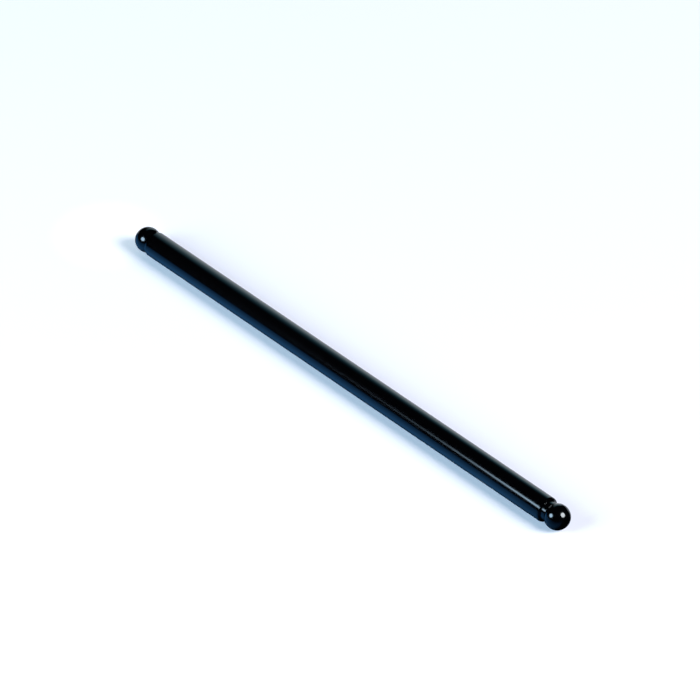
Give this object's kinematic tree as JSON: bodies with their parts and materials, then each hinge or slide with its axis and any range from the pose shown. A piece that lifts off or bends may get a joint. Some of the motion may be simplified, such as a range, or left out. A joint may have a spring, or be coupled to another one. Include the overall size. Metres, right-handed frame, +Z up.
{
  "type": "engine pushrod",
  "caption": "Straight hollow steel pushrod in gloss black with a necked ball at each end, passing valve-train motion and oil from lifter to rocker arm.",
  "frame": {"origin": "middle of the rod's length, on its axis", "axes": "+X along the rod towards the rocker ball; +Z up with the rod lying level"},
  "size_m": [0.1876, 0.008, 0.008],
  "materials": {
    "black_steel": "polished steel with a gloss black oxide finish"
  },
  "bodies": {
    "root": {"pushrod": "black_steel"}
  },
  "joints": []
}
